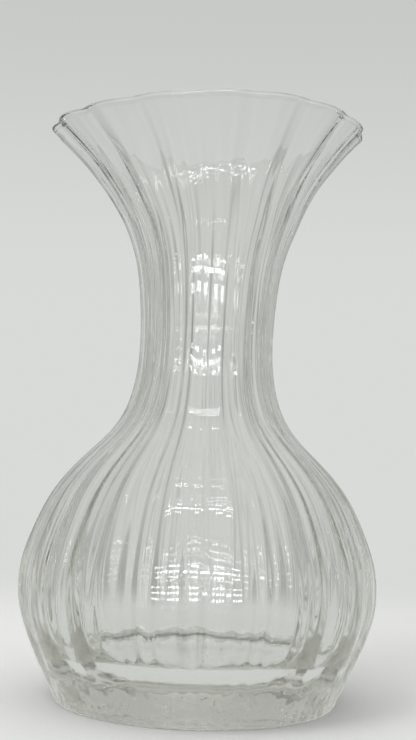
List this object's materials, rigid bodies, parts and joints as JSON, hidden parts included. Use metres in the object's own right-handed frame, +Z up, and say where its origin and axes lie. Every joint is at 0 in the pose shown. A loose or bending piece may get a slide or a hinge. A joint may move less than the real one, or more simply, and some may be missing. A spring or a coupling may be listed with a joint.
{
  "type": "fan vase",
  "caption": "Clear ribbed glass vase with a thick foot, a round bowl, a narrow neck and a flared, scalloped mouth.",
  "frame": {"origin": "centre of the flat underside of the foot", "axes": "+Z up along the axis of the vase, towards the mouth; -Y faces the viewer"},
  "size_m": [0.1254, 0.1254, 0.2046],
  "materials": {
    "clear_glass": "polished, clear with a faint grey-green tint where it is thick"
  },
  "bodies": {
    "root": {"base_slab": "clear_glass", "bowl": "clear_glass", "shoulder": "clear_glass", "neck": "clear_glass", "fan": "clear_glass", "rim_bead": "clear_glass"}
  },
  "joints": []
}
